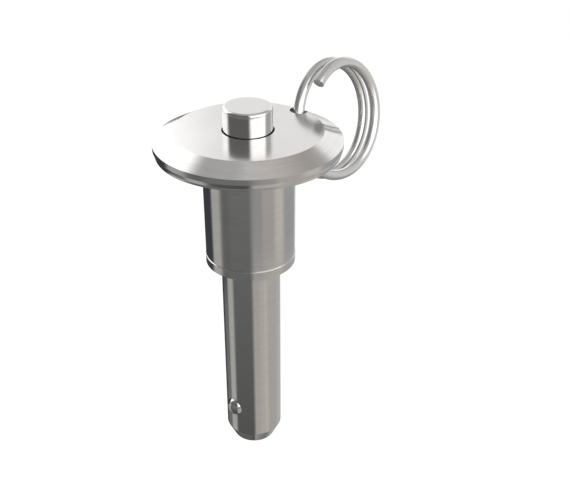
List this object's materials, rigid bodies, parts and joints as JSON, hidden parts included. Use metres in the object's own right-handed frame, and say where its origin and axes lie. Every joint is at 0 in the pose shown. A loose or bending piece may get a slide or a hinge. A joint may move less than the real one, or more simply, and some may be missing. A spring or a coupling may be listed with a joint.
{
  "type": "ball lock pin",
  "caption": "Quick-release pin with a mushroom handle, a push button that lets its locking balls in, and a split ring for a lanyard.",
  "frame": {"origin": "on the pin's axis, in the face of the shoulder that seats on the work", "axes": "+Z along the axis from the tip to the push button; the balls and the ring's hole lie on X, with the ring on the +X side"},
  "size_m": [0.0463, 0.0302, 0.0677],
  "materials": {
    "handle_steel": "fine turned stainless steel",
    "shank_steel": "ground stainless steel",
    "button_steel": "turned stainless steel",
    "spindle_steel": "ground hardened steel",
    "spring_wire": "drawn spring wire",
    "ball_steel": "polished bearing ball",
    "ring_wire": "bright drawn wire"
  },
  "bodies": {
    "pin": {"handle": "handle_steel", "shank": "shank_steel", "return_spring": "spring_wire"},
    "plunger": {"push_button": "button_steel", "spindle": "spindle_steel"},
    "ball_left": {"locking_ball_left": "ball_steel"},
    "ball_right": {"locking_ball_right": "ball_steel"},
    "ring": {"split_ring": "ring_wire"}
  },
  "joints": [
    {"name": "press", "type": "slide", "parent": "pin", "child": "plunger", "axis": [0, 0, 1], "range_m": [-0.003, 0], "stiffness_N_per_m": 1000, "springref_m": 0.006, "deforming": ["return_spring"]},
    {"name": "left_ball_slide", "type": "slide", "parent": "pin", "child": "ball_left", "axis": [-1, 0, 0], "range_m": [-0.001, 0]},
    {"name": "right_ball_slide", "type": "slide", "parent": "pin", "child": "ball_right", "axis": [1, 0, 0], "range_m": [-0.001, 0]},
    {"name": "ring_swing", "type": "hinge", "parent": "pin", "child": "ring", "pos_m": [0.01155, 0, 0.0216], "axis": [0, 0, 1], "range_deg": [-105, 110]}
  ],
  "couplings": [
    {"joint": "left_ball_slide", "follows": "press", "ratio": 0.33333},
    {"joint": "right_ball_slide", "follows": "press", "ratio": 0.33333}
  ]
}
